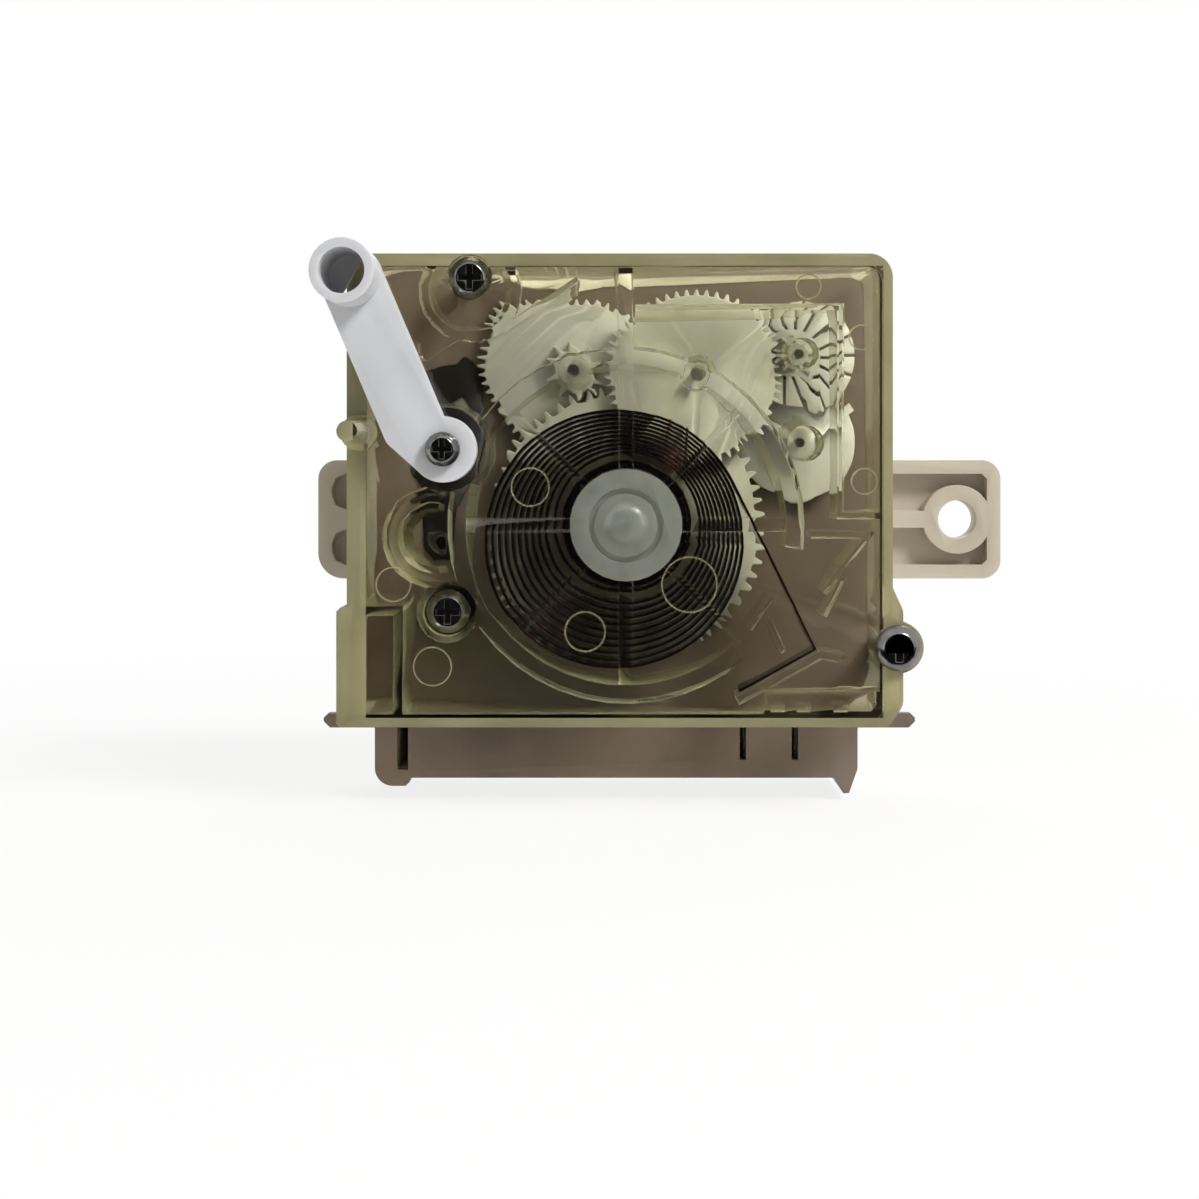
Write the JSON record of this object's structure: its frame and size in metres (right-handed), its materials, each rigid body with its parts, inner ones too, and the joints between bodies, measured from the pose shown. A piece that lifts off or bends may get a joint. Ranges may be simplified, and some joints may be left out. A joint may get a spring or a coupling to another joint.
{
  "type": "washing machine timer",
  "caption": "Clockwork wash timer with clear gearbox, coiled mainspring and gear train, switch housing with fixing ears, D-shaped knob shaft and a selector lever.",
  "frame": {"origin": "on the knob shaft's axis, in the plane of the panel face of the switch housing", "axes": "+Y along the knob shaft towards the knob, +X from the plain tongue to the drilled ear, +Z from the skirt to the top of the case"},
  "size_m": [0.0802, 0.058, 0.0595],
  "materials": {
    "housing_plastic": "moulded, satin, cream",
    "clear_plastic": "clear moulding, slightly yellowed",
    "gear_plastic": "natural white gear plastic",
    "cam_plastic": "natural white",
    "lever_plastic": "white, satin",
    "spring_steel": "dark tempered strip",
    "bright_steel": "bright turned",
    "screw_steel": "bright plated",
    "dark_steel": "blackened sheet",
    "leaf_brass": "rolled strip",
    "contact_metal": "bright contact rivet"
  },
  "bodies": {
    "case": {"rear_housing": "housing_plastic", "mid_plate": "housing_plastic", "clear_cover": "clear_plastic", "mainspring": "spring_steel", "cover_screw_top": "screw_steel", "cover_screw_left": "screw_steel", "cover_screw_right": "screw_steel", "lever_screw": "screw_steel", "stay_plate": "dark_steel", "hollow_rivet": "dark_steel", "timer_fixed_leaf": "leaf_brass", "timer_moving_leaf": "leaf_brass", "reverse_leaf_a": "leaf_brass", "reverse_moving_leaf": "leaf_brass", "reverse_leaf_b": "leaf_brass", "timer_contact_moving": "contact_metal", "timer_contact_fixed": "contact_metal", "reverse_contact_a_moving": "contact_metal", "reverse_contact_a_fixed": "contact_metal", "reverse_contact_b_moving": "contact_metal", "reverse_contact_b_fixed": "contact_metal"},
    "main_shaft": {"main_shaft": "bright_steel", "spring_hub": "gear_plastic", "clutch_washer": "bright_steel", "main_wheel": "gear_plastic", "program_cam": "cam_plastic"},
    "second": {"second_wheel": "gear_plastic", "second_arbor": "bright_steel"},
    "third": {"third_wheel": "gear_plastic", "third_arbor": "bright_steel", "reversing_cam": "cam_plastic"},
    "escape": {"escape_wheel": "gear_plastic", "escape_arbor": "bright_steel"},
    "balance": {"balance_wheel": "gear_plastic", "pallet_fork": "gear_plastic", "balance_staff": "bright_steel"},
    "lever": {"lever": "lever_plastic"}
  },
  "joints": [
    {"name": "main_spin", "type": "hinge", "parent": "case", "child": "main_shaft", "pos_m": [0, 0, 0], "axis": [0, -1, 0], "range_deg": [0, 300], "deforming": ["mainspring", "timer_moving_leaf"]},
    {"name": "second_spin", "type": "hinge", "parent": "case", "child": "second", "pos_m": [-0.00568, 0, 0.01655], "axis": [0, -1, 0], "range_deg": [-1800, 0]},
    {"name": "third_spin", "type": "hinge", "parent": "case", "child": "third", "pos_m": [0.00761, 0, 0.016], "axis": [0, -1, 0], "range_deg": [0, 4418.2], "deforming": ["reverse_moving_leaf"]},
    {"name": "escape_spin", "type": "hinge", "parent": "case", "child": "escape", "pos_m": [0.01878, 0, 0.01811], "axis": [0, -1, 0], "range_deg": [-27491, 0]},
    {"name": "balance_swing", "type": "hinge", "parent": "case", "child": "balance", "pos_m": [0.019, 0, 0.0086], "axis": [0, -1, 0], "range_deg": [-8, 8]},
    {"name": "lever_swing", "type": "hinge", "parent": "case", "child": "lever", "pos_m": [-0.01905, 0, 0.00795], "axis": [0, 1, 0], "range_deg": [0, 25]}
  ],
  "couplings": [
    {"joint": "second_spin", "follows": "main_spin", "ratio": -6},
    {"joint": "third_spin", "follows": "main_spin", "ratio": 14.727},
    {"joint": "escape_spin", "follows": "main_spin", "ratio": -91.636}
  ]
}
